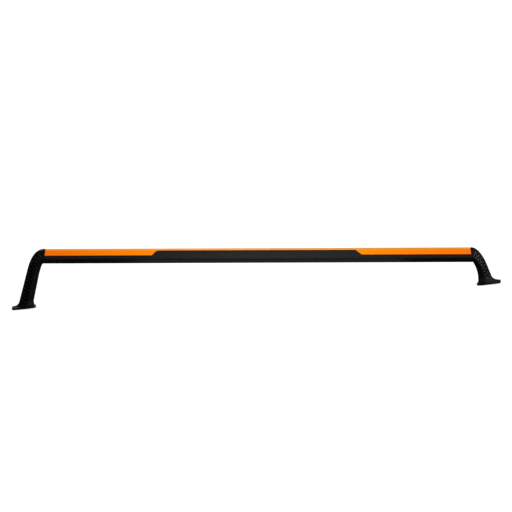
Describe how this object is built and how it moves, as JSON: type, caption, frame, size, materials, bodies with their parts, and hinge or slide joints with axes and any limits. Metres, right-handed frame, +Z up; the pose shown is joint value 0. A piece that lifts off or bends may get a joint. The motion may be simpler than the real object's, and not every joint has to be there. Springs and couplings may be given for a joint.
{
  "type": "bed cargo bar",
  "caption": "Raked cargo bar for a pickup bed: straight beam with an orange upper rail and a black centre cover, on two splayed cast legs with lattice fronts.",
  "frame": {"origin": "On the ground plane under the feet, in the middle of the bar's bounding box.", "axes": "+X runs lengthwise from the tall leg to the short leg, -Y is the front with the orange face, +Z is up. The beam falls 2.85 degrees towards +X."},
  "size_m": [1.562, 0.056, 0.1881],
  "materials": {
    "black_anodised": "satin black anodised extrusion with fine lengthwise draw lines",
    "orange_coat": "orange satin coat, paler where it catches light on the top",
    "cover_plastic": "fine-grained black moulded plastic",
    "leg_coat": "black textured powder coat on a casting",
    "lattice_plastic": "satin black moulded ribs",
    "rubber": "matt black rubber",
    "screw_steel": "black zinc plated steel",
    "brass": "plain turned brass"
  },
  "bodies": {
    "root": {"beam_extrusion": "black_anodised", "accent_rail": "orange_coat", "center_cover": "cover_plastic", "cover_clip_1": "cover_plastic", "cover_clip_2": "cover_plastic", "cover_clip_3": "cover_plastic", "cover_clip_4": "cover_plastic", "left_leg": "leg_coat", "right_leg": "leg_coat", "left_lattice_panel": "lattice_plastic", "right_lattice_panel": "lattice_plastic", "left_back_cover": "cover_plastic", "right_back_cover": "cover_plastic", "left_joint_seal": "rubber", "right_joint_seal": "rubber", "left_foot_gasket": "rubber", "right_foot_gasket": "rubber", "left_insert_front": "brass", "left_insert_rear": "brass", "right_insert_front": "brass", "right_insert_rear": "brass", "left_joint_screw_1": "screw_steel", "left_joint_screw_2": "screw_steel", "right_joint_screw_1": "screw_steel", "right_joint_screw_2": "screw_steel", "left_cover_screw_1": "screw_steel", "left_cover_screw_2": "screw_steel", "right_cover_screw_1": "screw_steel", "right_cover_screw_2": "screw_steel"}
  },
  "joints": []
}
